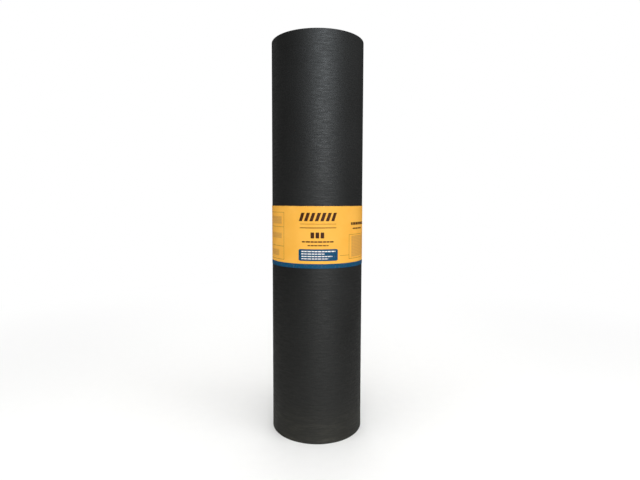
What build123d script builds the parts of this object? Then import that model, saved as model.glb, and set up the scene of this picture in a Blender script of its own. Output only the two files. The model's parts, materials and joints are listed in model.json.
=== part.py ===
from build123d import *
from math import cos, floor, pi, radians, sin
import os

# A roll of asphalt roofing felt, standing on one end, with a paper label glued round its middle.
# Lengths are in millimetres and angles in degrees, counted anticlockwise from +X seen from above.
# The origin is the centre of the lower end, +Z runs up the roll, and the label's front faces -Y.

# The felt, as it is sold: a yard wide, and long enough to cover two roofing squares
sheet_width = 914.4
sheet_length = 21945.6
roll_diameter = 215.9
bore_diameter = 76.2

# The sheet's two cut ends run the whole height of the roll, and each leaves a step one turn deep
outer_end_angle = 160.0
outer_blend_angle = 65.0
inner_end_angle = 210.0
inner_blend_angle = 70.0

# The gap between the turns, cut into both ends of the roll as one spiral line
turns_per_line = 4
line_width = 0.5
line_depth = 0.8

# The label, one strip of paper wrapped right round the roll and glued to itself
label_height = 137.0
label_above_middle = 11.3
label_paper = 0.2
label_slack = 0.1
label_seam_angle = 55.0
label_overlap = 30.0

# Worked out from the sizes above
roll_radius = roll_diameter / 2
bore_radius = bore_diameter / 2
turn_pitch = pi * (roll_radius**2 - bore_radius**2) / sheet_length
line_pitch = turns_per_line * turn_pitch
label_bottom = (sheet_width - label_height) / 2 + label_above_middle

center = (0, 0)


# A point of the plan, from its distance to the roll's axis and its angle
def polar(radius, angle):
    return (radius * cos(radians(angle)), radius * sin(radians(angle)))


# A turn of the sheet with the step of its cut end, as three edges of the plan. It runs at the full
# radius for most of the way, and over the blend angle it eases to the far side of the step, which
# stands at end_angle.
def turn_with_step(radius, step, end_angle, blend_angle):
    way = 1 if blend_angle > 0 else -1
    blend_start = polar(radius, end_angle + blend_angle)
    step_foot = polar(radius + step, end_angle)
    step_top = polar(radius, end_angle)
    along = polar(way, end_angle + blend_angle - 90)
    round_part = CenterArc(center, radius, end_angle + blend_angle, way * 360 - blend_angle)
    cut_end = Line(step_top, step_foot)
    blend = TangentArc(blend_start, step_foot, tangent=along)
    return round_part, cut_end, blend


def outer_turn():
    return turn_with_step(roll_radius, -turn_pitch, outer_end_angle, -outer_blend_angle)


def inner_turn():
    return turn_with_step(bore_radius, turn_pitch, inner_end_angle, inner_blend_angle)


# A spiral from semicircles that swing about two centres half a pitch apart, so that each full turn
# comes out one pitch further in. The turns run anticlockwise, from the sheet's outer end inwards.
def spiral(start_radius, pitch, half_turns):
    arcs = []
    for half in range(half_turns):
        swing_center = center if half % 2 == 0 else (-pitch / 2, 0)
        swing_radius = start_radius - half * pitch / 2
        arcs.append(CenterArc(swing_center, swing_radius, 180 * (half % 2), 180))
    return arcs


# The plan of the line that shows between the turns. It opens in the step of the outer end, just
# under the outermost turn, and stops inside the last turn before the bore.
def turn_line_face():
    outer_start = roll_radius - turn_pitch + line_width / 2
    inner_start = outer_start - line_width
    half_turns = floor(2 * (inner_start - bore_radius - 2 * turn_pitch) / line_pitch)
    outer_wall = spiral(outer_start, line_pitch, half_turns)
    inner_wall = spiral(inner_start, line_pitch, half_turns)
    mouth = Line(outer_wall[0] @ 0, inner_wall[0] @ 0)
    stop = Line(outer_wall[-1] @ 1, inner_wall[-1] @ 1)
    return Rot(0, 0, outer_end_angle) * make_face([*outer_wall, stop, *inner_wall, mouth])


# The wound felt: one solid with its bore, both cut ends of the sheet and the turns on its ends
def felt_roll():
    body = extrude(make_face(outer_turn()) - make_face(inner_turn()), sheet_width)
    line = extrude(turn_line_face(), line_depth)
    return body - line - Pos(0, 0, sheet_width - line_depth) * line


# The paper band, tight round the felt. It bridges the step of the outer end in a straight line, and
# its own end is glued over its start.
def label_band():
    round_part, cut_end, blend = outer_turn()
    bridge = ConstrainedLines(blend, cut_end @ 0).edges().sort_by_distance(blend @ 0)[0]
    backed = TangentArc(blend @ 0, bridge @ 0, tangent=blend % 0)
    tight = make_face([round_part, bridge, backed])
    inner_side = offset(tight, label_slack, kind=Kind.INTERSECTION)
    paper_side = offset(inner_side, label_paper, kind=Kind.INTERSECTION)
    overlap_side = offset(paper_side, label_paper, kind=Kind.INTERSECTION)
    overlap_angle = label_overlap / pi * 180 / roll_radius
    reach = 2 * roll_radius
    overlap_sector = make_face(
        Polyline(
            center,
            polar(reach, label_seam_angle - overlap_angle / 2),
            polar(reach, label_seam_angle + overlap_angle / 2),
            close=True,
        )
    )
    strip = paper_side - inner_side + ((overlap_side - inner_side) & overlap_sector)
    return Pos(0, 0, label_bottom) * extrude(strip, label_height)


os.makedirs("parts", exist_ok=True)
export_step(felt_roll(), "parts/felt_roll.step")
export_step(label_band(), "parts/label_band.step")
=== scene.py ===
import json
import math

import bpy
import numpy as np
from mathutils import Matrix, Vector


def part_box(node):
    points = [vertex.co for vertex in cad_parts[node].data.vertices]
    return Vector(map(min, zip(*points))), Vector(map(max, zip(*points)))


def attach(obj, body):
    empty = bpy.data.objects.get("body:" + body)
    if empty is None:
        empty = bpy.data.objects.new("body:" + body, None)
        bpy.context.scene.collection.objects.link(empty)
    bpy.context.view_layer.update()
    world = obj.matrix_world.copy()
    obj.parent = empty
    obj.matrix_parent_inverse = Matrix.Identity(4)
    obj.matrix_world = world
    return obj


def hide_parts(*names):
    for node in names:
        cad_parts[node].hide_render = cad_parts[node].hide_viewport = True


# A roll of roofing felt standing on its end, with a paper label glued round its middle.
# Lengths are in metres. The felt is a real wound sheet and the label a real strip of paper:
# Geometry Nodes sweep both along their own winding.

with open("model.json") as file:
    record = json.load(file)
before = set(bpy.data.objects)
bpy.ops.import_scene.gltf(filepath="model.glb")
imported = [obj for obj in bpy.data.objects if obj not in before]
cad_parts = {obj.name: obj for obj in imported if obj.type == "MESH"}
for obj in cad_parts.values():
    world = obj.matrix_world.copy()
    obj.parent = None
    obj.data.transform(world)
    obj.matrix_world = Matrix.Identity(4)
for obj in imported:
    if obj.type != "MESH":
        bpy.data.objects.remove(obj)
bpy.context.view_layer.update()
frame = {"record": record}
rollLow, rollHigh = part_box("felt_roll")
labelLow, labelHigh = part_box("label_band")
boreMount = next(mount for mount in frame["record"]["mounts"] if mount["name"] == "bore")
fullTurn = 2 * math.pi
frontAngle = 1.5 * math.pi  # the side that faces the camera
print("frame loaded")


# Node helpers

class Wire:
    # One output of a node. Sums and products of wires add the Math nodes they need.
    def __init__(self, nodes, socket):
        self.nodes = nodes
        self.socket = socket

    def output(self, name):
        return Wire(self.nodes, self.socket.node.outputs[name])

    def __add__(self, other):
        return self.nodes.math("ADD", self, other)

    def __radd__(self, other):
        return self.nodes.math("ADD", other, self)

    def __sub__(self, other):
        return self.nodes.math("SUBTRACT", self, other)

    def __rsub__(self, other):
        return self.nodes.math("SUBTRACT", other, self)

    def __mul__(self, other):
        return self.nodes.math("MULTIPLY", self, other)

    def __rmul__(self, other):
        return self.nodes.math("MULTIPLY", other, self)

    def __truediv__(self, other):
        return self.nodes.math("DIVIDE", self, other)

    def __rtruediv__(self, other):
        return self.nodes.math("DIVIDE", other, self)

    def __pow__(self, other):
        return self.nodes.math("POWER", self, other)

    def atLeast(self, other):
        return self.nodes.math("MAXIMUM", self, other)

    def atMost(self, other):
        return self.nodes.math("MINIMUM", self, other)

    def above(self, limit):
        return self.nodes.math("GREATER_THAN", self, limit)

    def below(self, limit):
        return self.nodes.math("LESS_THAN", self, limit)

    def between(self, low, high):
        return self.above(low) * self.below(high)

    def whole(self):
        return self.nodes.math("FLOOR", self)

    def part(self):
        return self.nodes.math("FRACT", self)

    def size(self):
        return self.nodes.math("ABSOLUTE", self)

    def cosine(self):
        return self.nodes.math("COSINE", self)

    def sine(self):
        return self.nodes.math("SINE", self)

    def clamped(self):
        return self.atLeast(0).atMost(1)

    def eased(self, low, high):
        # 0 at low and 1 at high, with a soft start and end
        share = ((self - low) / (high - low)).clamped()
        return share * share * (3 - 2 * share)


class Nodes:
    # Adds nodes to one tree: the settings go in first, then each socket's value or wire
    def __init__(self, tree):
        self.tree = tree

    def add(self, kind, settings=None, sockets=None, output=0):
        node = self.tree.nodes.new(kind)
        for name, value in (settings or {}).items():
            setattr(node, name, value)
        for key, value in (sockets or {}).items():
            if isinstance(value, Wire):
                self.tree.links.new(value.socket, node.inputs[key])
            else:
                node.inputs[key].default_value = value
        return Wire(self, node.outputs[output]) if node.outputs else node

    def math(self, operation, *values):
        return self.add("ShaderNodeMath", {"operation": operation}, dict(enumerate(values)))

    def vector(self, x=0.0, y=0.0, z=0.0):
        return self.add("ShaderNodeCombineXYZ", {}, {0: x, 1: y, 2: z})

    def noise(self, place, scale=1.0, detail=2.0, roughness=0.5):
        sockets = {"Vector": place, "Scale": scale, "Detail": detail, "Roughness": roughness}
        return self.add("ShaderNodeTexNoise", {"noise_dimensions": "3D"}, sockets)

    def blend(self, share, first, second):
        # Two colours, mixed by a share
        sockets = {0: share, 6: first, 7: second}
        return self.add("ShaderNodeMix", {"data_type": "RGBA"}, sockets, output=2)


# Swept strips by Geometry Nodes

sweep = {
    "extraStations": 3,  # one at each end, where the strip zips shut, and one for the count
    "ringRadius": 0.1,  # of the bare section, before its points are moved
    "wholeMargin": 0.001,  # keeps a whole number from coming out a hair too low
    "weldDistance": 1e-6,
    "sharpAngle": 30.0,  # degrees
}


def newSweep(name, inputs):
    # A Geometry Nodes tree with a named input for each size
    tree = bpy.data.node_groups.new(name, "GeometryNodeTree")
    kinds = {int: "NodeSocketInt", float: "NodeSocketFloat"}
    for title, value in inputs.items():
        kind = kinds.get(type(value), "NodeSocketMaterial")
        tree.interface.new_socket(name=title, in_out="INPUT", socket_type=kind)
    tree.interface.new_socket(name="Mesh", in_out="OUTPUT", socket_type="NodeSocketGeometry")
    nodes = Nodes(tree)
    start = nodes.add("NodeGroupInput")
    return nodes, {title: start.output(title) for title in inputs}


def named(nodes, name):
    return nodes.add("GeometryNodeInputNamedAttribute", {"data_type": "FLOAT"}, {"Name": name})


def stored(nodes, geometry, name, value):
    settings = {"data_type": "FLOAT", "domain": "POINT"}
    sockets = {"Geometry": geometry, "Name": name, "Value": value}
    return nodes.add("GeometryNodeStoreNamedAttribute", settings, sockets)


def sweptStrip(nodes, stations, corners):
    # A tube along a straight path. Each point knows its station on the path and its corner
    # of the section. From those two numbers the caller moves it to its place on the strip.
    ends = {"Start": (0.0, 0.0, 0.0), "End": (1.0, 0.0, 0.0)}
    line = nodes.add("GeometryNodeCurvePrimitiveLine", {"mode": "POINTS"}, ends)
    resample = {"Curve": line, "Count": stations}
    path = nodes.add("GeometryNodeResampleCurve", {"mode": "COUNT"}, resample)
    index = nodes.add("GeometryNodeInputIndex")
    path = stored(nodes, path, "station", index)
    circle = {"Resolution": corners, "Radius": sweep["ringRadius"]}
    ring = nodes.add("GeometryNodeCurvePrimitiveCircle", {"mode": "RADIUS"}, circle)
    ring = stored(nodes, ring, "corner", index)
    tube = nodes.add("GeometryNodeCurveToMesh", {}, {"Curve": path, "Profile Curve": ring})
    return nodes.add("GeometryNodeFlipFaces", {}, {"Mesh": tube})


def endStations(station, lastStation, count):
    # 1 at the first and the last few stations. The outermost two lie where their neighbours
    # do, and the strip zips shut there.
    return station.below(count - 0.5) + station.above(lastStation + 2.5 - count)


def innerSide(corner, cornersPerSide):
    # 0 on the outer side of the section and 1 on the inner side
    return (corner / cornersPerSide + sweep["wholeMargin"]).whole()


def aroundAxis(nodes, angle, outward, up):
    return nodes.vector(outward * angle.cosine(), outward * angle.sine(), up)


def roundPlace(nodes, angle, scale, up, seed, shifted):
    # Where a pattern that goes round the roll is read. The seed shifts it along one axis.
    place = {"x": angle.cosine() * scale, "y": angle.sine() * scale, "z": up}
    place[shifted] = place[shifted] + seed
    return nodes.vector(**place)


def endSweep(nodes, strip, place, material):
    # Moves the points to their places, zips the open ends shut and ends the tree
    strip = nodes.add("GeometryNodeSetPosition", {}, {"Geometry": strip, "Position": place})
    joined = {"Geometry": strip, "Distance": sweep["weldDistance"]}
    strip = nodes.add("GeometryNodeMergeByDistance", {}, joined)
    strip = nodes.add("GeometryNodeRealizeInstances", {}, {"Geometry": strip})
    worn = {"Geometry": strip, "Material": material}
    strip = nodes.add("GeometryNodeSetMaterial", {}, worn)
    nodes.add("NodeGroupOutput", {}, {0: strip})


def plainMesh(nodes, inputs, name):
    # Runs the tree in a modifier and keeps its result as a plain mesh
    piece = bpy.data.objects.new(name, bpy.data.meshes.new(name + "_start"))
    bpy.context.scene.collection.objects.link(piece)
    modifier = piece.modifiers.new(name, "NODES")
    modifier.node_group = nodes.tree
    for socket in nodes.tree.interface.items_tree:
        if socket.in_out == "INPUT":
            modifier[socket.identifier] = inputs[socket.name]
    seen = piece.evaluated_get(bpy.context.evaluated_depsgraph_get())
    mesh = bpy.data.meshes.new_from_object(seen)
    start = piece.data
    piece.modifiers.remove(modifier)
    piece.data = mesh
    bpy.data.meshes.remove(start)
    mesh.name = name
    for scratch in ("station", "corner"):
        mesh.attributes.remove(mesh.attributes[scratch])
    mesh.polygons.foreach_set("use_smooth", [True] * len(mesh.polygons))
    mesh.set_sharp_from_angle(angle=math.radians(sweep["sharpAngle"]))
    return piece


# Maps to bake through, named OFBake: each kind of face gets its own block of the square

def numbersOf(items, name, kind, width=1):
    found = np.empty(len(items) * width, kind)
    items.foreach_get(name, found)
    return found.reshape(-1, width) if width > 1 else found


class FaceCorners:
    # What each corner of each face needs to know to find its place on a map
    levelLimit = 0.3  # a face that leans up or down by more than this counts as level
    wallLimit = 0.5  # and one that faces in or out by more than this as a wall

    def __init__(self, mesh):
        self.mesh = mesh
        self.start = numbersOf(mesh.polygons, "loop_start", np.int32)
        count = numbersOf(mesh.polygons, "loop_total", np.int32)
        self.face = np.repeat(np.arange(len(count)), count)
        self.vertex = numbersOf(mesh.loops, "vertex_index", np.int32)
        self.place = numbersOf(mesh.vertices, "co", np.float32, 3)[self.vertex]
        self.radius = np.hypot(self.place[:, 0], self.place[:, 1])
        normal = numbersOf(mesh.polygons, "normal", np.float32, 3)
        middle = numbersOf(mesh.polygons, "center", np.float32, 3)
        radial = middle[:, :2] / np.linalg.norm(middle[:, :2], axis=1)[:, None]
        outward = (normal[:, :2] * radial).sum(1)
        self.up = normal[self.face, 2]
        self.outward = outward[self.face]
        self.level = np.abs(self.up) > self.levelLimit
        self.wall = ~self.level & (np.abs(self.outward) > self.wallLimit)
        self.cut = ~self.level & ~self.wall
        self.uv = np.full((len(self.face), 2), 0.5, np.float32)

    def attribute(self, name):
        return numbersOf(self.mesh.attributes[name].data, "value", np.float32)[self.vertex]

    def leastOf(self, values):
        return np.minimum.reduceat(values, self.start)[self.face]

    def lay(self, chosen, across, up, block):
        # across and up run from 0 to 1 over the block (left, right, low, high)
        left, right, low, high = block
        self.uv[chosen, 0] = left + (right - left) * np.clip(across[chosen], 0, 1)
        self.uv[chosen, 1] = low + (high - low) * np.clip(up[chosen], 0, 1)

    def keep(self):
        layer = self.mesh.uv_layers.new(name="OFBake")
        layer.uv.foreach_set("vector", self.uv.ravel())


def shareOf(values, chosen):
    # From 0 at the least of the chosen values to 1 at the greatest
    low, high = values[chosen].min(), values[chosen].max()
    return (values - low) / max(high - low, 1e-9)


# Material helpers

def colour(red, green, blue):
    return (red, green, blue, 1.0)


def newMaterial(name):
    material = bpy.data.materials.new(name)
    material.use_nodes = True
    material.node_tree.nodes.clear()
    return material, Nodes(material.node_tree)


def endMaterial(nodes, tone, rough, specular, height, depth=1.0):
    relief = {"Strength": 1.0, "Distance": depth, "Height": height}
    shader = nodes.add("ShaderNodeBsdfPrincipled", {}, {
        "Base Color": tone,
        "Roughness": rough,
        "Normal": nodes.add("ShaderNodeBump", {}, relief),
        "Specular IOR Level": specular,
    })
    nodes.add("ShaderNodeOutputMaterial", {}, {"Surface": shader})


def attributeOf(nodes, name):
    return nodes.add("ShaderNodeAttribute", {"attribute_name": name}).output("Fac")


def objectPlace(nodes):
    return nodes.add("ShaderNodeTexCoord").output("Object")


def axesOf(nodes, place, names):
    axes = nodes.add("ShaderNodeSeparateXYZ", {}, {0: place})
    return [axes.output(name) for name in names]


def patternPlace(nodes, along, up, size, seed):
    # Where a pattern that follows the sheet is read. Size is its marks' length and height.
    length, height = size
    return nodes.vector(along / length, up / height, seed)


# The felt

felt = {
    "width": rollHigh.z - rollLow.z,
    "outerRadius": rollHigh.y,
    "boreRadius": boreMount["dims"]["r_mm"] / 1000,
    "sheetLength": 21.9456,
    "outerEnd": 160.0,  # degrees, where the sheet's outer cut end stands
    "outerBlend": 65.0,  # degrees before it, over which the roll eases in by one turn
    "innerEnd": 210.0,
    "innerBlend": 70.0,
    "boreMargin": 0.94,  # turns, by which the innermost layer stops short of the bore
    "turnMargin": 0.0001,  # turns, against rounding where one inner turn meets the next
    "bevel": 0.00012,
    "seed": 7.0,

    # The mesh
    "stationsPerTurn": 128,
    "wallRows": 48,
    "shownTurns": 1.04,  # past these the outer wall needs no rows of its own
    "foldMargin": 0.03,  # turns past the lifted end, up to which the inner wall has its rows

    # The gaps between the turns, and how far the inner turns stray from round
    "sheetShare": 0.962,  # the sheet and the gap together, as a share of the pitch
    "leastGap": 0.00012,
    "mostGap": 0.00062,
    "gapScale": 1.6,
    "gapDrift": 0.83,  # how fast the gaps change from turn to turn
    "gapRange": (0.3, 0.72),
    "turnWave": 0.0009,
    "waveScale": 1.1,
    "waveDrift": 0.06,
    "waveFrom": (1.5, 12),  # the turns over which the waves set in

    # How far the turns' edges stray from flat
    "rimWave": 0.0020,
    "outerRimShare": 0.15,  # the outermost turn's share of it
    "rimWaveFrom": (0.6, 6),
    "rimScale": 0.9,
    "rimDrift": 0.8,
    "rimRange": (0.25, 0.8),
    "lowerRimShift": 40,  # the lower rims take another stretch of the pattern

    # The outermost turn and its cut end
    "dent": 0.0003,
    "dentScale": 1.3,
    "dentsUp": 9,
    "dentFade": 0.02,  # turns over which the dents die out
    "lift": 0.0013,  # how far the cut end stands off near the roll's two ends
    "liftShare": 0.08,  # the share of a turn that lifts
    "liftRange": (0.2, 1),  # 0 is the middle of the sheet's width and 1 its edges
    "cutWave": 0.0011,  # how far the cut end strays from straight
    "cutWavesUp": 11,

    "finish": {
        "darkTone": colour(0.0055, 0.0056, 0.0053),
        "paleTone": colour(0.0131, 0.0132, 0.0125),
        "edgeTone": colour(0.090, 0.082, 0.073),  # the cut rims, where the dry fibres show
        # the tone of real dust, and of painted floor bounce light near the foot
        "dustAndBounceTone": colour(0.076, 0.073, 0.056),

        # The patterns, by the length and height of their marks
        "streakSize": (0.024, 0.0042),
        "streakSeed": 3.0,
        "streakShare": 0.6,  # the fine streaks make up the rest of the brushed look
        "fineSize": (0.010, 0.0013),
        "fineSeed": 9.0,
        "patchSize": (0.16, 0.16),
        "patchSeed": 5.0,
        "grainSize": 0.0009,
        "fibreScale": 1400,
        "fibreRange": (0.35, 0.72),
        "layerScale": 7,
        "layerDrift": 0.9,  # how fast the rims' tone changes from turn to turn
        "layerRange": (0.25, 0.75),

        # What the tone, the roughness and the relief are made of
        "toneMiddle": 0.45,
        "toneByBrush": 1.9,
        "toneByPatch": 0.8,
        "toneByGrain": 0.5,
        "cutEndRange": (0.9, 0.98),
        "edgeByFibre": 0.75,
        "edgeByLayer": (0.6, 0.6),  # the least, and what the palest layers add
        "roughness": 0.60,
        "roughByBrush": 0.6,
        "roughByPatch": 0.25,
        "roughByGrain": 0.1,
        "roughByRim": 0.25,
        "roughByDustAndBounce": 0.2,
        "roughRange": (0.3, 0.9),
        "brushDepth": 0.00080,
        "grainDepth": 0.00014,
        "fibreDepth": 0.0002,
        "specular": 0.19,

        # Dust clings to the lower part, most of it near the floor in level scuffs. Painted
        # floor bounce light also makes the foot and the lower part paler and warmer.
        "footHeight": 0.11,
        "footDustAndBounce": 0.19,
        "scuffDust": 0.5,
        "scuffScale": 0.35,
        "scuffRange": (0.45, 0.8),
        "dustAndBounceByPatch": 0.6,
        # painted floor bounce light: the lower part paler and warmer, up to this height
        "lowHeight": 0.45,
        "lowPaintedBounce": 0.05,
    },
}
turnPitch = math.pi * (felt["outerRadius"]**2 - felt["boreRadius"]**2) / felt["sheetLength"]


def feltDustAndBounce(nodes, look, streakPlace, z, patch):
    # Real dust near the floor, in level scuffs, and painted floor bounce light that makes the
    # foot and the lower part paler
    scuff = nodes.noise(streakPlace, scale=look["scuffScale"], detail=3.0, roughness=0.7)
    scuff = scuff.eased(*look["scuffRange"])
    nearFloor = 1 - z.eased(0.0, look["footHeight"])
    byPatch = 1 - look["dustAndBounceByPatch"] + look["dustAndBounceByPatch"] * patch
    dustAndBounce = nearFloor * (look["footDustAndBounce"] + look["scuffDust"] * scuff) * byPatch
    # Painted floor bounce light: paler and warmer towards the bottom
    lowDown = 1 - z.eased(0.0, look["lowHeight"])
    return dustAndBounce + lowDown * look["lowPaintedBounce"] * (0.5 + patch)


def feltMaterial(look):
    material, nodes = newMaterial("saturated_felt")
    place = objectPlace(nodes)
    x, y, z = axesOf(nodes, place, "XYZ")
    along = attributeOf(nodes, "alongSheet")
    cutEnd = attributeOf(nodes, "cutEnd").eased(*look["cutEndRange"])
    rim = attributeOf(nodes, "rim").atLeast(cutEnd)

    # The streaks that the rollers leave run along the sheet, so they lie level round the roll
    streakPlace = patternPlace(nodes, along, z, look["streakSize"], look["streakSeed"])
    streak = nodes.noise(streakPlace, roughness=0.55)
    finePlace = patternPlace(nodes, along, z, look["fineSize"], look["fineSeed"])
    fine = nodes.noise(finePlace, roughness=0.6)
    patch = nodes.noise(patternPlace(nodes, along, z, look["patchSize"], look["patchSeed"]))
    grain = nodes.noise(place, scale=1 / look["grainSize"], detail=3.0, roughness=0.65)
    brushed = look["streakShare"] * streak + (1 - look["streakShare"]) * fine - 0.5

    tone = look["toneMiddle"] + look["toneByBrush"] * brushed
    tone = tone + look["toneByPatch"] * (patch - 0.5) + look["toneByGrain"] * (grain - 0.5)
    tone = nodes.blend(tone.clamped(), look["darkTone"], look["paleTone"])
    # Dust and painted floor bounce light, mixed into the tone
    dustAndBounce = feltDustAndBounce(nodes, look, streakPlace, z, patch)
    tone = nodes.blend(dustAndBounce.clamped(), tone, look["dustAndBounceTone"])

    # The layers' dry fibres show on the rims, and no two layers are quite the same tone
    fibre = nodes.noise(place, scale=look["fibreScale"], detail=3.0, roughness=0.7)
    turn = attributeOf(nodes, "turn") * look["layerDrift"]
    layerPlace = nodes.vector(turn, x * look["layerScale"], y * look["layerScale"])
    layer = nodes.noise(layerPlace, detail=1.0).eased(*look["layerRange"])
    byFibre = fibre.eased(*look["fibreRange"])
    byFibre = 1 - look["edgeByFibre"] + look["edgeByFibre"] * byFibre
    least, more = look["edgeByLayer"]
    edgeShare = rim * byFibre * (least + more * layer)
    tone = nodes.blend(edgeShare.clamped(), tone, look["edgeTone"])

    rough = look["roughness"] - look["roughByBrush"] * brushed
    rough = rough + look["roughByPatch"] * (patch - 0.5) + look["roughByGrain"] * (grain - 0.5)
    rough = rough + look["roughByRim"] * rim + look["roughByDustAndBounce"] * dustAndBounce
    smoothest, roughest = look["roughRange"]
    rough = rough.atLeast(smoothest).atMost(roughest)
    height = brushed * look["brushDepth"] + grain * look["grainDepth"]
    height = height + rim * fibre * look["fibreDepth"]
    endMaterial(nodes, tone, rough, look["specular"], height)
    return material


def easedIn(angle, blendAngle):
    # The drop of a turn that eases in by one pitch along an arc, as a share of the pitch
    return (1 - angle.cosine()) / (1 - math.cos(blendAngle))


def feltSection(nodes, turn, sizes):
    # Up the outer wall, over the upper rim, down the inner wall and under the lower rim
    rows = sizes["wallRows"]
    corner = named(nodes, "corner")
    side = innerSide(corner, rows + 2)
    step = corner - side * (rows + 2)
    firstRim = 1 - step.atMost(1)
    lastRim = (step - rows).atLeast(0)
    way = ((step - 1) / (rows - 1)).clamped()

    # Full rows only where the wall shows or lifts. Elsewhere they fold onto the rims.
    shown = sizes["shownTurns"]
    fullRows = shown + side * (sizes["liftShare"] + sizes["foldMargin"] - shown)
    way = way + turn.above(fullRows) * (way.above(0.5) - way)
    rise = way + side * (1 - 2 * way)
    highRim = side * firstRim + (1 - side) * lastRim
    return side, rise, firstRim + lastRim, highRim


def turnLevel(turn, turns, sizes):
    # Each turn lies one pitch inside the last. The step of each cut end shows through the
    # turns, the outer one's less and less towards the bore and the inner one's more and more.
    outerBlend = math.radians(sizes["outerBlend"])
    pastBlend = (turn.part() * fullTurn - (fullTurn - outerBlend)).atLeast(0)
    levelOut = turn.whole() + easedIn(pastBlend, outerBlend)
    innerBlend = math.radians(sizes["innerBlend"])
    turnIn = turn - turns + (1 + sizes["turnMargin"])
    beforeBlend = (innerBlend - turnIn.part() * fullTurn).atLeast(0)
    lastLevel = (sizes["outerRadius"] - sizes["boreRadius"]) / turnPitch - sizes["boreMargin"]
    levelIn = lastLevel + turnIn.whole() - easedIn(beforeBlend, innerBlend)
    return levelOut + turn / turns * (levelIn - levelOut)


def turnShape(nodes, given, sizes, turn, angle):
    # How far the turns stray from round, and how thick the sheet is beside the gap. Both change
    # slowly from turn to turn, so that no turn cuts into its neighbour.
    seed = given["Seed"]
    place = roundPlace(nodes, angle, sizes["waveScale"], turn * sizes["waveDrift"], seed, "x")
    wave = (nodes.noise(place, detail=0.0) - 0.5) * given["Turn wave"]
    wave = wave * turn.eased(*sizes["waveFrom"])
    place = roundPlace(nodes, angle, sizes["gapScale"], turn * sizes["gapDrift"], seed, "y")
    gapShare = nodes.noise(place, detail=1.0).eased(*sizes["gapRange"])
    gap = sizes["leastGap"] + gapShare * (sizes["mostGap"] - sizes["leastGap"])
    return wave, given["Turn pitch"] * sizes["sheetShare"] - gap


def outerTurnShape(nodes, given, sizes, turn, angle, rise, openInside):
    # The outermost turn's soft dents, and its cut end that stands off and isn't straight
    seed = given["Seed"]
    place = roundPlace(nodes, angle, sizes["dentScale"], rise * sizes["dentsUp"], seed, "z")
    shown = sizes["shownTurns"]
    shownOut = (1 - openInside) * (1 - turn.eased(shown - sizes["dentFade"], shown))
    dent = nodes.noise(place, detail=1.5) * sizes["dent"] * shownOut
    nearCut = (1 - turn / sizes["liftShare"]).atLeast(0)
    nearEnd = (rise * 2 - 1).size().eased(*sizes["liftRange"])
    lift = sizes["lift"] * nearCut * nearCut * nearEnd
    cutNoise = nodes.noise(nodes.vector(rise * sizes["cutWavesUp"], seed), detail=3.0)
    bend = (cutNoise - 0.5) * (sizes["cutWave"] / sizes["outerRadius"]) * nearCut
    return dent, lift, bend


def rimSinks(nodes, given, sizes, turn, angle):
    # How far the upper and the lower rim of each turn lie inside the sheet's width
    outerShare = sizes["outerRimShare"]
    rimShare = outerShare + (1 - outerShare) * turn.eased(*sizes["rimWaveFrom"])
    amount = given["Rim wave"] * rimShare
    drift = turn * sizes["rimDrift"]
    sinks = []
    for up, shifted in ((drift, "y"), (drift + sizes["lowerRimShift"], "x")):
        place = roundPlace(nodes, angle, sizes["rimScale"], up, given["Seed"], shifted)
        sinks.append(nodes.noise(place, detail=1.0).eased(*sizes["rimRange"]) * amount)
    return sinks


def woundFelt(sizes, material):
    radius = sizes["outerRadius"]
    lap = (sizes["innerEnd"] - sizes["outerEnd"]) / 360
    meanTurn = math.pi * (radius + sizes["boreRadius"])
    turns = round(sizes["sheetLength"] / meanTurn - lap) + lap
    lastStation = round(turns * sizes["stationsPerTurn"])
    inputs = {
        "Stations": lastStation + sweep["extraStations"],
        "Section corners": 2 * (sizes["wallRows"] + 2),
        "Sheet width": sizes["width"],
        "Outer radius": radius,
        "Turn pitch": turnPitch,
        "Turn wave": sizes["turnWave"],
        "Rim wave": sizes["rimWave"],
        "Seed": sizes["seed"],
        "Felt": material,
    }
    nodes, given = newSweep("woundFelt", inputs)
    strip = sweptStrip(nodes, given["Stations"], given["Section corners"])
    station = named(nodes, "station")
    turn = (station - 1).atLeast(0).atMost(lastStation) / sizes["stationsPerTurn"]
    angle = math.radians(sizes["outerEnd"]) + fullTurn * turn
    side, rise, onRim, highRim = feltSection(nodes, turn, sizes)
    openInside = side * (1 - endStations(station, lastStation, 1))

    # Two bevelled edges to each rim. The strip's ends have no thickness, and zip shut.
    wave, thickness = turnShape(nodes, given, sizes, turn, angle)
    dent, lift, bend = outerTurnShape(nodes, given, sizes, turn, angle, rise, openInside)
    edge = onRim * sizes["bevel"]
    inset = edge + openInside * (thickness - 2 * edge)
    level = given["Turn pitch"] * turnLevel(turn, turns, sizes)
    outward = given["Outer radius"] - level - wave - dent + lift - inset

    # The rims of the turns are a little uneven, and the lower ones stand on the floor
    highSink, lowSink = rimSinks(nodes, given, sizes, turn, angle)
    bottom = lowSink + sizes["bevel"] * (1 - (onRim - highRim))
    top = given["Sheet width"] - highSink - sizes["bevel"] * (1 - highRim)
    up = bottom + rise * (top - bottom)

    told = {
        "turn": turn,
        "rim": onRim,
        "cutEnd": endStations(station, lastStation, 2),
        "alongSheet": fullTurn * turn * (radius - turn * (turnPitch / 2)),
    }
    for name, value in told.items():
        strip = stored(nodes, strip, name, value)
    endSweep(nodes, strip, aroundAxis(nodes, angle + bend, outward, up), given["Felt"])
    roll = plainMesh(nodes, inputs, "wound_felt")
    feltBakeMap(roll.data, sizes, turns)
    return roll


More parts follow.
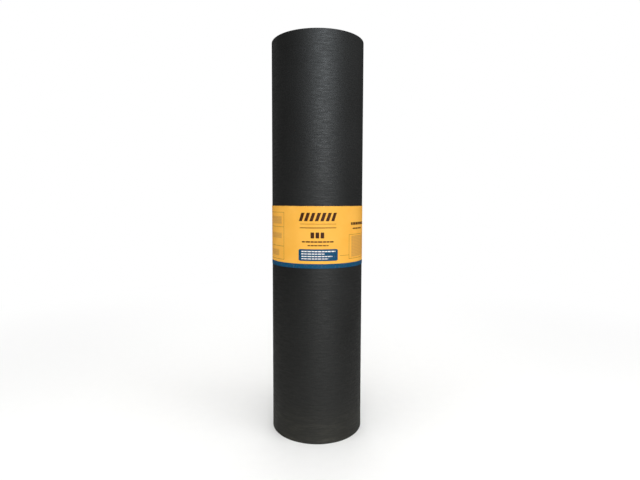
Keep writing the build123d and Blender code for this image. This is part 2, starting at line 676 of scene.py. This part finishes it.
def feltBakeMap(mesh, sizes, turns):
    blocks = {
        "outside": (0.004, 0.696, 0.004, 0.996),
        "bore": (0.706, 0.996, 0.316, 0.396),
        "upperEnd": (0.706, 0.996, 0.706, 0.996),
        "lowerEnd": (0.706, 0.996, 0.406, 0.696),
        "outerCut": (0.706, 0.716, 0.004, 0.306),
        "innerCut": (0.721, 0.731, 0.004, 0.306),
        "between": (0.736, 0.996, 0.004, 0.306),
    }
    outsideTurns = 1.06  # how many the outside's block has room for
    planWidth = 2.1  # how wide an end's block is, in outer radii
    columns, margin = 118, 0.05  # of the small cells for the walls between the turns
    corners = FaceCorners(mesh)
    turn = corners.attribute("turn")
    firstTurn = corners.leastOf(turn)
    rise = corners.place[:, 2] / sizes["width"]
    planX = 0.5 + corners.place[:, 0] / sizes["outerRadius"] / planWidth
    planY = 0.5 + corners.place[:, 1] / sizes["outerRadius"] / planWidth
    corners.lay(corners.level & (corners.up > 0), planX, planY, blocks["upperEnd"])
    corners.lay(corners.level & (corners.up < 0), planX, planY, blocks["lowerEnd"])

    # Between the turns each stretch of wall gets a small cell, in rows
    perTurn = sizes["stationsPerTurn"]
    cell = np.round(firstTurn * perTurn).astype(int)
    across = np.clip(turn * perTurn - cell, 0, 1)
    cell += (corners.outward > 0) * (int(turns * perTurn) + 2)
    rowCount = cell.max() // columns + 1
    across = (cell % columns + margin + (1 - 2 * margin) * across) / columns
    up = (cell // columns + margin + (1 - 2 * margin) * rise) / rowCount
    corners.lay(corners.wall, across, up, blocks["between"])

    seen = corners.wall & (corners.outward > 0) & (firstTurn < outsideTurns - 0.01)
    corners.lay(seen, turn / outsideTurns, rise, blocks["outside"])
    inner = corners.wall & (corners.outward < 0) & (firstTurn > turns - 1)
    corners.lay(inner, turn - (turns - 1), rise, blocks["bore"])
    cuts = {
        "outerCut": corners.cut & (firstTurn < 1),
        "innerCut": corners.cut & (firstTurn > 1),
    }
    for name, chosen in cuts.items():
        corners.lay(chosen, shareOf(corners.radius, chosen), rise, blocks[name])
    corners.keep()


woundRoll = woundFelt(felt, feltMaterial(felt["finish"]))
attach(woundRoll, "root")
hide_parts("felt_roll")
print("felt wound:", len(woundRoll.data.polygons), "faces")


# The label

label = {
    "low": labelLow.z,
    "high": labelHigh.z,
    "slack": 0.0001,  # between the felt and the paper
    "paper": 0.00019,
    "layer": 0.00021,  # from one layer of paper to the next
    "seamAngle": 55.0,
    "overlap": 0.030,
    "rows": 26,
    "stations": 288,
    "seed": 3.0,

    # Where the end meets the start, the paper climbs onto it. Both angles are in radians
    # before that place.
    "climb": (0.05, 0.006),
    "endLift": 0.0008,
    "endLiftReach": 0.05,  # radians

    # Away from the glue the edges lift and the face buckles
    "edgeLift": 0.0006,
    "edgeSharpness": 9,
    "liftScale": 2.2,
    "liftsUp": 2,
    "liftRange": (0.35, 0.75),
    "buckle": 0.00018,
    "buckleScale": 4,
    "bucklesUp": 1.5,
    "buckleRange": (0.3, 0.8),
    "freeAfter": 0.1,  # radians past the overlap, over which the paper comes free
    "freeUntil": (0.35, 0.1),  # radians before the end meets the start

    "finish": {
        "yellow": colour(0.93, 0.455, 0.062),
        "yellowPale": colour(0.96, 0.50, 0.085),
        "ink": colour(0.055, 0.018, 0.006),
        "tint": colour(0.62, 0.31, 0.075),
        "blue": colour(0.004, 0.068, 0.150),
        "white": colour(0.90, 0.89, 0.86),
        "bare": colour(0.84, 0.62, 0.30),
        "mottleSize": (0.045, 0.045),
        "mottleSeed": 4.0,
        "fibreSize": 0.0007,
        "paperByFibre": 0.3,
        "paperRange": (0.3, 0.7),
        "wear": 0.08,
        "wearSize": (0.004, 0.004),
        "wearSeed": 8.0,
        "wearRange": (0.5, 0.8),
        "roughness": 0.52,
        "roughByMottle": 0.12,
        "roughByFibre": 0.06,
        "roughByInk": 0.08,
        "relief": 0.00006,
        "specular": 0.06,
    },

    # The print, a generic layout of stripes, bars and dashes, in metres from the middle of
    # the front and from the label's lower edge. A block is (left, right, low, high), and a
    # row is the pitch of its marks and the share of it that they cover.
    "print": {
        "bareEnd": 0.0011,  # at the glued-down end
        "stripe": 0.0100,
        "slashBand": (-0.0415, 0.0385, 0.104, 0.1225),
        "slashRow": (0.0120, 0.62),
        "slashLean": 0.35,
        "rules": ((-0.039, 0.043, 0.0886, 0.0902), (-0.039, 0.043, 0.0974, 0.0982)),
        "squares": (-0.0145, 0.0185, 0.0665, 0.0795),
        "squareRow": (0.0110, 0.72),
        "bars": (
            (-0.034, 0.037, 0.0572, 0.0602),
            (-0.021, 0.025, 0.0494, 0.0518),
            (0.084, 0.150, 0.0945, 0.1005),
            (0.089, 0.132, 0.0850, 0.0880),
        ),
        "barRow": (0.009, 0.86),
        "panel": (-0.042, 0.047, 0.0165, 0.0425),
        "panelCorner": 0.004,
        "panelBars": (
            (-0.036, 0.041, 0.0364, 0.0386),
            (-0.036, 0.016, 0.0310, 0.0330),
            (-0.036, 0.034, 0.0256, 0.0276),
            (-0.036, 0.024, 0.0204, 0.0222),
        ),
        "panelRow": (0.0075, 0.84),
        "frames": ((-0.146, -0.082, 0.016, 0.123), (0.0777, 0.158, 0.0185, 0.0735)),
        "hairlines": (
            (-0.146, -0.082, 0.0460, 0.0468),
            (-0.146, -0.082, 0.0895, 0.0903),
            (0.0520, 0.0777, 0.0270, 0.0277),
        ),
        "lineWidth": 0.0008,
        "lineStrength": 0.75,
        "tints": (
            (-0.140, -0.090, 0.0965, 0.1135),
            (-0.140, -0.090, 0.0640, 0.0760),
            (-0.140, -0.100, 0.0240, 0.0380),
            (0.085, 0.152, 0.0220, 0.0700),
        ),
        "tintLines": (0.0034, 0.55),
        "tintRow": (0.0058, 0.78),
        "tintStrength": (0.45, 0.5),  # the least, and what the lines of dashes add
        "dashDrift": 0.37,
        "dashSeed": 2.0,
        "dashJitter": 1.6,  # pitches, by which the dashes stray
    },
}


def inBlock(u, v, block):
    left, right, low, high = block
    return u.between(left, right) * v.between(low, high)


def inFrame(u, v, block, width):
    left, right, low, high = block
    inner = (left + width, right - width, low + width, high - width)
    return inBlock(u, v, block) * (1 - inBlock(u, v, inner))


def inRounded(u, v, block, corner):
    left, right, low, high = block
    beyondU = ((u - (left + right) / 2).size() - ((right - left) / 2 - corner)).atLeast(0)
    beyondV = ((v - (low + high) / 2).size() - ((high - low) / 2 - corner)).atLeast(0)
    return (beyondU * beyondU + beyondV * beyondV).below(corner * corner)


def inRow(u, v, block, row):
    # Equal marks side by side in a block
    pitch, share = row
    return ((u - block[0]) / pitch).part().below(share) * inBlock(u, v, block)


def anyOf(masks):
    found = masks[0]
    for mask in masks[1:]:
        found = found.atLeast(mask)
    return found


def inAny(u, v, blocks):
    return anyOf([inBlock(u, v, block) for block in blocks])


def dashes(nodes, u, printed, row):
    # Runs of print and gaps of uneven length
    pitch, share = printed[row]
    place = nodes.vector(u / pitch * printed["dashDrift"], printed["dashSeed"])
    jitter = nodes.noise(place, detail=0.0) * printed["dashJitter"]
    return (u / pitch + jitter).part().below(share)


def wrapAngles(sizes):
    # Where the paper starts, and the angle it covers before its end is glued down
    overlap = sizes["overlap"] / felt["outerRadius"]
    return math.radians(sizes["seamAngle"]) - overlap / 2, fullTurn + overlap


def labelPrint(nodes, u, v, printed):
    # How much ink, tint, blue and white lies at each place
    leaning = u - (v - printed["slashBand"][2]) * printed["slashLean"]
    slashes = inRow(leaning, v, printed["slashBand"], printed["slashRow"])
    squares = inRow(u, v, printed["squares"], printed["squareRow"])
    rules = inAny(u, v, printed["rules"])
    bars = inAny(u, v, printed["bars"]) * dashes(nodes, u, printed, "barRow")
    lines = anyOf([inFrame(u, v, block, printed["lineWidth"]) for block in printed["frames"]])
    lines = lines.atLeast(inAny(u, v, printed["hairlines"]))
    ink = anyOf([slashes, squares, rules, bars, lines * printed["lineStrength"]])

    pitch, share = printed["tintLines"]
    tintMarks = (v / pitch).part().below(share) * dashes(nodes, u, printed, "tintRow")
    least, more = printed["tintStrength"]
    tint = inAny(u, v, printed["tints"]) * (least + more * tintMarks)
    panel = inRounded(u, v, printed["panel"], printed["panelCorner"])
    blue = anyOf([panel, v.below(printed["stripe"])])
    white = inAny(u, v, printed["panelBars"]) * dashes(nodes, u, printed, "panelRow")
    return ink, tint, blue, white


def labelMaterial(sizes):
    look, printed = sizes["finish"], sizes["print"]
    material, nodes = newMaterial("label_print")
    u = attributeOf(nodes, "alongLabel")
    v = attributeOf(nodes, "upLabel")

    mottlePlace = patternPlace(nodes, u, v, look["mottleSize"], look["mottleSeed"])
    mottle = nodes.noise(mottlePlace, detail=3.0, roughness=0.6)
    fibre = nodes.noise(objectPlace(nodes), scale=1 / look["fibreSize"], roughness=0.6)
    paperShare = mottle * (1 - look["paperByFibre"]) + fibre * look["paperByFibre"]
    paperShare = paperShare.eased(*look["paperRange"])
    paper = nodes.blend(paperShare, look["yellow"], look["yellowPale"])

    wearPlace = patternPlace(nodes, u, v, look["wearSize"], look["wearSeed"])
    worn = nodes.noise(wearPlace, detail=3.0).eased(*look["wearRange"])
    unworn = 1 - look["wear"] * worn
    ink, tint, blue, white = labelPrint(nodes, u, v, printed)
    ink = ink * unworn
    tone = nodes.blend(tint * unworn, paper, look["tint"])
    tone = nodes.blend(ink, tone, look["ink"])
    tone = nodes.blend(blue * unworn, tone, look["blue"])
    tone = nodes.blend(white, tone, look["white"])

    # The print stops a little short of the glued-down end
    startAngle, wrapped = wrapAngles(sizes)
    endPlace = (startAngle + wrapped - frontAngle) * felt["outerRadius"]
    tone = nodes.blend(u.above(endPlace - printed["bareEnd"]), tone, look["bare"])

    rough = look["roughness"] + look["roughByMottle"] * mottle + look["roughByFibre"] * fibre
    rough = rough - look["roughByInk"] * anyOf([ink, blue])
    endMaterial(nodes, tone, rough, look["specular"], fibre, look["relief"])
    return material


def bridgeLine(radius, blendAngle):
    # Under the cut end the paper runs straight, from the edge of the step to where it meets
    # the felt again. Of the lines through that edge it is the one farthest from the axis.
    nearest, tries = 0.01, 4000
    back = np.linspace(nearest, blendAngle, tries)
    drop = (1 - np.cos(blendAngle - back)) / (1 - math.cos(blendAngle))
    foot = radius - turnPitch * drop
    runX = foot * np.cos(back) - radius
    runY = foot * np.sin(back)
    distance = radius * runY / np.hypot(runX, runY)
    best = distance.argmax()
    return float(distance[best]), float(back[best]), math.atan2(-runX[best], runY[best])


def feltUnder(angle):
    # The felt under the paper, with the step of its cut end bridged
    radius = felt["outerRadius"]
    outerBlend = math.radians(felt["outerBlend"])
    behind = ((math.radians(felt["outerEnd"]) - angle) / fullTurn).part() * fullTurn
    surface = radius - turnPitch * easedIn((outerBlend - behind).atLeast(0), outerBlend)
    lineDistance, lineReach, lineNormal = bridgeLine(radius, outerBlend)
    straight = lineDistance / (behind - lineNormal).cosine()
    return surface + behind.below(lineReach) * (straight - surface).atLeast(0)


def labelBand(sizes, material):
    startAngle, wrapped = wrapAngles(sizes)
    overlap = wrapped - fullTurn
    rows = sizes["rows"]
    lastStation = sizes["stations"]
    inputs = {
        "Stations": lastStation + sweep["extraStations"],
        "Section corners": 2 * rows,
        "Height": sizes["high"] - sizes["low"],
        "Paper": sizes["paper"],
        "Edge lift": sizes["edgeLift"],
        "Seed": sizes["seed"],
        "Label": material,
    }
    nodes, given = newSweep("labelBand", inputs)
    strip = sweptStrip(nodes, given["Stations"], given["Section corners"])
    station = named(nodes, "station")
    travelled = (station - 1).atLeast(0).atMost(lastStation) * (wrapped / lastStation)
    angle = startAngle + travelled
    corner = named(nodes, "corner")
    side = innerSide(corner, rows)
    rise = ((corner - side * rows) / (rows - 1)).clamped()
    rise = rise + side * (1 - 2 * rise)

    # The paper's end climbs over its start, and stands off a little where the glue ends
    climbFrom, climbTo = sizes["climb"]
    layer = travelled.eased(fullTurn - climbFrom, fullTurn - climbTo) * sizes["layer"]
    nearEnd = travelled.eased(wrapped - sizes["endLiftReach"], wrapped)
    endLift = nearEnd ** 2 * sizes["endLift"]

    # Its edges lift and its face buckles, but not where it is glued
    seed = given["Seed"]
    place = roundPlace(nodes, angle, sizes["liftScale"], rise * sizes["liftsUp"], seed, "y")
    edgeLift = nodes.noise(place, detail=1.0).eased(*sizes["liftRange"])
    edgeLift = edgeLift * given["Edge lift"] * (rise * 2 - 1).size() ** sizes["edgeSharpness"]
    place = roundPlace(nodes, angle, sizes["buckleScale"], rise * sizes["bucklesUp"], seed, "x")
    buckle = nodes.noise(place).eased(*sizes["buckleRange"]) * sizes["buckle"]
    freeFrom, freeTo = sizes["freeUntil"]
    free = travelled.eased(overlap, overlap + sizes["freeAfter"])
    free = free * (1 - travelled.eased(fullTurn - freeFrom, fullTurn - freeTo))

    inset = side * (1 - endStations(station, lastStation, 1)) * given["Paper"]
    outward = feltUnder(angle) + (sizes["slack"] + sizes["paper"]) + layer + endLift - inset
    outward = outward + (edgeLift + buckle) * free
    up = sizes["low"] + rise * given["Height"]

    strip = stored(nodes, strip, "alongLabel", (angle - frontAngle) * felt["outerRadius"])
    strip = stored(nodes, strip, "upLabel", up - sizes["low"])
    endSweep(nodes, strip, aroundAxis(nodes, angle, outward, up), given["Label"])
    band = plainMesh(nodes, inputs, "label_paper_band")
    labelBakeMap(band.data, sizes)
    return band


def labelBakeMap(mesh, sizes):
    blocks = {
        "front": (0.004, 0.996, 0.55, 0.996),
        "leftBack": (0.004, 0.996, 0.36, 0.54),
        "rightBack": (0.004, 0.996, 0.17, 0.35),
        "inside": (0.004, 0.996, 0.08, 0.16),
        "upperEdge": (0.004, 0.996, 0.055, 0.070),
        "lowerEdge": (0.004, 0.996, 0.030, 0.045),
        "startCut": (0.004, 0.490, 0.004, 0.020),
        "endCut": (0.510, 0.996, 0.004, 0.020),
    }
    front = 0.160  # the print ends short of this, on either side of the middle
    corners = FaceCorners(mesh)
    along = corners.attribute("alongLabel")
    up = corners.attribute("upLabel") / (sizes["high"] - sizes["low"])
    first = corners.leastOf(along)
    outer = corners.wall & (corners.outward > 0)
    walls = {
        "front": outer & (first >= -front) & (first < front),
        "leftBack": outer & (first < -front),
        "rightBack": outer & (first >= front),
        "inside": corners.wall & (corners.outward < 0),
    }
    for name, chosen in walls.items():
        corners.lay(chosen, shareOf(along, chosen), up, blocks[name])
    edges = {
        "upperEdge": corners.level & (corners.up > 0),
        "lowerEdge": corners.level & (corners.up < 0),
    }
    for name, chosen in edges.items():
        through = shareOf(corners.radius, chosen)
        corners.lay(chosen, shareOf(along, chosen), through, blocks[name])
    cuts = {
        "startCut": corners.cut & (first < 0),
        "endCut": corners.cut & (first > 0),
    }
    for name, chosen in cuts.items():
        corners.lay(chosen, up, shareOf(corners.radius, chosen), blocks[name])
    corners.keep()


labelPiece = labelBand(label, labelMaterial(label))
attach(labelPiece, "root")
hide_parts("label_band")
print("label wrapped:", len(labelPiece.data.polygons), "faces")


# Floor, light and camera

studio = {
    "floorHalf": 9.0,
    "floorTone": colour(0.86, 0.86, 0.85),
    "floorPale": colour(0.88, 0.88, 0.87),
    "floorGrain": 40,
    "floorBounce": colour(0.55, 0.55, 0.54),  # what the floor throws back on the roll
    "whiteFrom": 0.15,  # where the floor starts to turn to plain white
    "whiteAt": 2.0,
    "white": colour(1.0, 1.0, 1.0),
    "farGlow": 0.18,  # the white floor's light on the roll, as a share of what the camera sees
    "ambient": 0.10,  # and the same for the white all round
}

whiteLight = (1.0, 1.0, 1.0)
lamps = {
    # place, size, watts, colour, and whether it lights matte surfaces or only shows in a sheen
    "sheen_light": ((0.60, -2.05, 2.05), (0.9, 0.9), 136, (0.84, 0.93, 1.0), "glossy"),
    "low_sheen_light": ((0.70, -2.30, 0.60), (0.9, 0.9), 42, (1.0, 1.0, 0.98), "glossy"),
    "back_sheen_light": ((-0.10, 2.30, 2.30), (0.5, 0.9), 165, (0.92, 0.98, 1.0), "glossy"),
    "right_rim_light": ((2.30, 0.50, 1.20), (0.8, 1.8), 4, whiteLight, "glossy"),
    "left_rim_light": ((-1.80, 1.60, 1.20), (0.5, 1.8), 2, whiteLight, "glossy"),
    "front_fill": ((0.0, -3.0, 0.9), (2.4, 1.6), 53, whiteLight, "matte"),
    "back_fill": ((0.0, 3.0, 0.9), (2.4, 1.6), 62, whiteLight, "matte"),
    "left_fill": ((-2.3, -1.1, 1.2), (1.4, 1.8), 14, whiteLight, "matte"),
    "right_fill": ((2.3, -1.1, 1.2), (1.4, 1.8), 24, whiteLight, "matte"),
    "overhead": ((0.0, -0.4, 3.2), (2.6, 2.6), 85, whiteLight, "matte"),
}
lampsAimAt = (0, 0, 0.5)

view = {
    "distance": 1.0872,
    "height": 0.5488,
    "pitchDown": 0.0693,  # radians, as is the lean
    "lean": -0.0024,
    "focalPixels": 449.74,
    "centrePixel": (317.27, 231.90),
    "imagePixels": (640, 480),
    "sensor": 36.0,
    "clip": (0.05, 100),
}


def seenByCamera(nodes):
    return nodes.add("ShaderNodeLightPath").output("Is Camera Ray")


def dimmed(seen, share):
    # Full strength to the camera, and a share of it as light on everything else
    return share + seen * (1 - share)


def makeFloor(look):
    material, nodes = newMaterial("floor")
    place = objectPlace(nodes)
    x, y = axesOf(nodes, place, "XY")
    away = (x * x + y * y) ** 0.5
    grain = nodes.noise(place, scale=look["floorGrain"])
    tone = nodes.blend(grain, look["floorTone"], look["floorPale"])
    seen = seenByCamera(nodes)
    tone = nodes.blend(seen, look["floorBounce"], tone)
    matte = nodes.add("ShaderNodeBsdfDiffuse", {}, {"Color": tone})
    light = {"Color": look["white"], "Strength": dimmed(seen, look["farGlow"])}
    glow = nodes.add("ShaderNodeEmission", {}, light)
    share = away.eased(look["whiteFrom"], look["whiteAt"])
    surface = nodes.add("ShaderNodeMixShader", {}, {0: share, 1: matte, 2: glow})
    nodes.add("ShaderNodeOutputMaterial", {}, {"Surface": surface})
    half = look["floorHalf"]
    square = [(-half, -half, 0), (half, -half, 0), (half, half, 0), (-half, half, 0)]
    mesh = bpy.data.meshes.new("floor")
    mesh.from_pydata(square, [], [(0, 1, 2, 3)])
    mesh.materials.append(material)
    floor = bpy.data.objects.new("floor", mesh)
    bpy.context.scene.collection.objects.link(floor)


def makeWorld(look):
    world = bpy.data.worlds.new("studio")
    world.use_nodes = True
    world.node_tree.nodes.clear()
    nodes = Nodes(world.node_tree)
    strength = dimmed(seenByCamera(nodes), look["ambient"])
    light = {"Color": look["white"], "Strength": strength}
    backdrop = nodes.add("ShaderNodeBackground", {}, light)
    nodes.add("ShaderNodeOutputWorld", {}, {"Surface": backdrop})
    bpy.context.scene.world = world


def makeLamp(name, place, size, watts, tint, reach):
    light = bpy.data.lights.new(name, "AREA")
    light.shape = "RECTANGLE"
    light.size, light.size_y = size
    light.energy = watts
    light.color = tint
    lamp = bpy.data.objects.new(name, light)
    lamp.visible_glossy = reach != "matte"
    lamp.visible_diffuse = reach != "glossy"
    lamp.location = place
    aim = Vector(lampsAimAt) - Vector(place)
    lamp.rotation_euler = aim.to_track_quat("-Z", "Y").to_euler()
    bpy.context.scene.collection.objects.link(lamp)


def makeCamera(look):
    camera = bpy.data.cameras.new("camera")
    width, height = look["imagePixels"]
    centreX, centreY = look["centrePixel"]
    camera.sensor_fit = "HORIZONTAL"
    camera.sensor_width = look["sensor"]
    camera.lens = look["focalPixels"] / width * look["sensor"]
    camera.shift_x = (width / 2 - centreX) / width
    camera.shift_y = (centreY - height / 2) / width
    camera.clip_start, camera.clip_end = look["clip"]
    placed = bpy.data.objects.new("camera", camera)
    placed.location = (0, -look["distance"], look["height"])
    placed.rotation_euler = (math.pi / 2 - look["pitchDown"], look["lean"], 0)
    bpy.context.scene.collection.objects.link(placed)
    bpy.context.scene.camera = placed


makeFloor(studio)
makeWorld(studio)
for lampName, settings in lamps.items():
    makeLamp(lampName, *settings)
makeCamera(view)
bpy.context.scene.view_settings.view_transform = "Standard"
print("floor, light and camera set")
